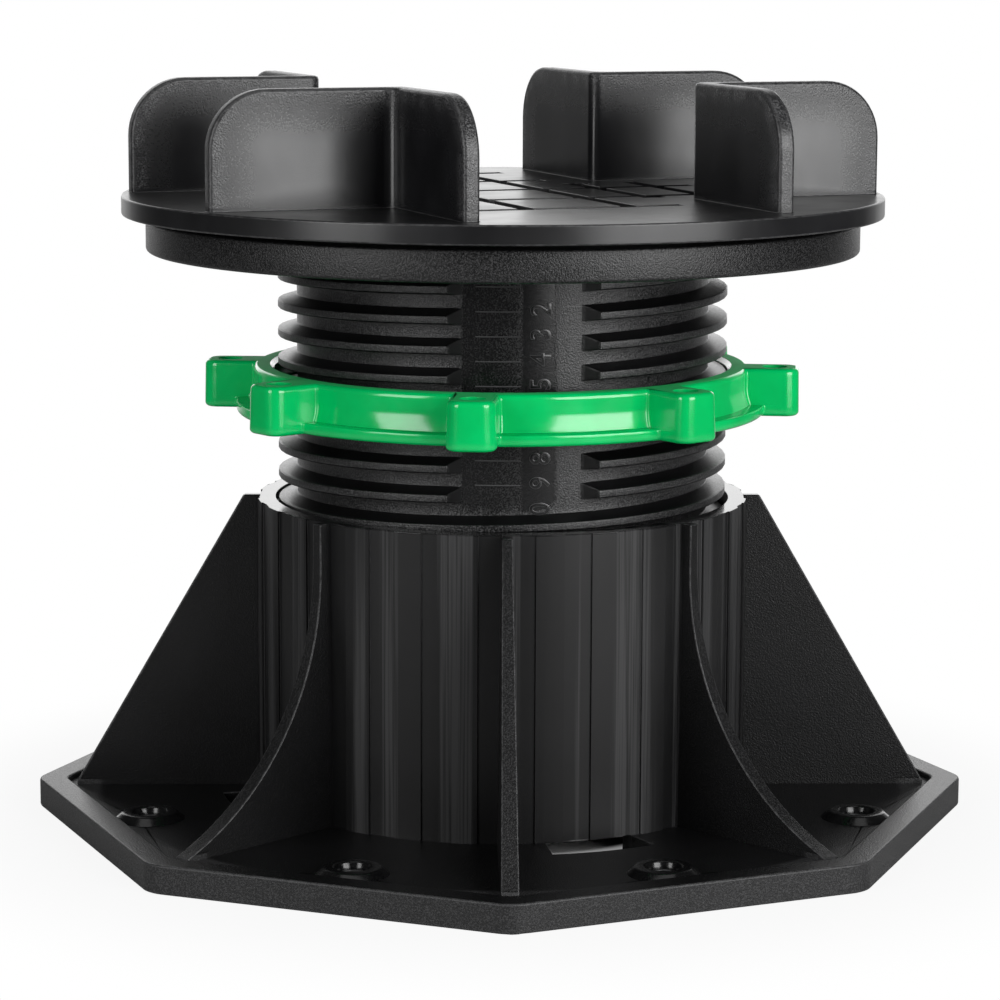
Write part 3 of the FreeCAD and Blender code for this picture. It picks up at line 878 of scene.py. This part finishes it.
def softbox(name, place, target, size, power):
    """Rectangular lamp at a place in the camera's heading, facing a target. The camera doesn't see it."""
    data = bpy.data.lights.new(name, "AREA")
    data.shape = "RECTANGLE"
    data.size, data.size_y = size
    data.energy = power
    lamp = place_in_scene(name, data)
    lamp.location = from_camera(*place)
    lamp.rotation_mode = "QUATERNION"
    lamp.rotation_quaternion = (Vector(target) - lamp.location).to_track_quat("-Z", "Y")
    lamp.visible_camera = False


def white_floor():
    """White floor: plain pale paint that keeps the shadow close to the object, and even white in the picture
    and in reflections further out. A dim ring of it under the tube glows white, a painted glow that a drain
    slot lets be seen."""
    paint, reach = (0.45, 0.45, 0.45, 1), 6
    strip_start, strip_end, painted_glow_level = (41.2, 44.5), (47.0, 45.5), 0.24
    shadow_end, full_white, mirror_start = (80.0, 85.0), (90.0, 150.0), (350.0, 700.0)
    f = Finish("floor_white")
    x, y = f.axes()[:2]
    radius = f.length(x, y)
    f.shader.inputs["Base Color"].default_value = paint
    f.shader.inputs["Roughness"].default_value = 0.9
    rays = f.nodes.new("ShaderNodeLightPath").outputs
    # Painted glow: a dim ring of floor under the tube shines white to the camera, where a drain slot shows it
    strip = f.times(f.along(radius, *strip_start, 0.0, painted_glow_level), f.along(radius, *strip_end))
    outside = f.times(f.along(radius, *shadow_end), f.along(radius, *full_white, 0.9, 1.0))
    picture = f.times(rays["Is Camera Ray"], f.larger(strip, outside))
    mirror = f.larger(rays["Is Glossy Ray"], rays["Is Transmission Ray"])
    mirror = f.times(mirror, f.along(radius, *mirror_start))
    ahead = from_camera(0.0, 1.0, 0.0)
    far = f.plus(f.times(x, ahead[0]), f.times(y, ahead[1]))
    far = f.ramp(f.calc("DIVIDE", far, f.larger(radius, 0.01)), *FAR_WHITE)
    white = f.nodes.new("ShaderNodeEmission")
    f.links.new(f.larger(rays["Is Camera Ray"], far), white.inputs["Strength"])
    join = f.nodes.new("ShaderNodeMixShader")
    f.links.new(f.larger(picture, mirror), join.inputs["Fac"])
    f.links.new(f.shader.outputs["BSDF"], join.inputs[1])
    f.links.new(white.outputs["Emission"], join.inputs[2])
    f.links.new(join.outputs["Shader"], f.nodes["Material Output"].inputs["Surface"])
    mesh = bpy.data.meshes.new("floor")
    corners = [(-reach, -reach, 0), (reach, -reach, 0), (reach, reach, 0), (-reach, reach, 0)]
    mesh.from_pydata(corners, [], [(0, 1, 2, 3)])
    mesh.materials.append(f.material)
    floor = place_in_scene("floor", mesh)


def white_room():
    """Surround: white to the camera, white in reflections on the far side and dim on the camera's side, an
    even low light for the rest."""
    low_light = 0.2
    world = bpy.data.worlds.new("studio")
    bpy.context.scene.world = world
    world.use_nodes = True
    room = Graph(world.node_tree)
    way = room.nodes.new("ShaderNodeTexCoord")
    heading = room.nodes.new("ShaderNodeVectorMath")
    heading.operation = "DOT_PRODUCT"
    heading.inputs[1].default_value = from_camera(0.0, 1.0, 0.0)
    room.links.new(way.outputs["Generated"], heading.inputs[0])
    far = room.ramp(heading.outputs["Value"], *FAR_WHITE)
    rays = room.nodes.new("ShaderNodeLightPath").outputs
    glossy = room.mix(rays["Is Glossy Ray"], low_light, far)
    sky = room.nodes["Background"]
    sky.inputs["Color"].default_value = (1, 1, 1, 1)
    room.links.new(room.mix(rays["Is Camera Ray"], glossy, 1.0), sky.inputs["Strength"])


def photo_camera():
    """Camera at the photograph's place: turned to its heading, tilted down and rolled a little."""
    data = bpy.data.cameras.new("camera")
    data.lens = CAMERA_LENS
    data.sensor_width = CAMERA_SENSOR
    camera = place_in_scene("camera", data)
    heading = Matrix.Rotation(-CAMERA_HEADING - CAMERA_ASIDE, 4, "Z")
    tilt = Matrix.Rotation(math.pi / 2 - CAMERA_DOWN, 4, "X")
    roll = Matrix.Rotation(CAMERA_ROLL, 4, "Z")
    camera.matrix_world = Matrix.Translation(from_camera(*CAMERA_PLACE)) @ (heading @ tilt) @ roll
    bpy.context.scene.camera = camera


# Floor, room, lamps and camera
white_floor()
white_room()
for name, (place, aim, size, power) in LAMPS.items():
    softbox(name, place, (0, 0, aim), size, power)
photo_camera()
bpy.context.scene.view_settings.view_transform = "Standard"
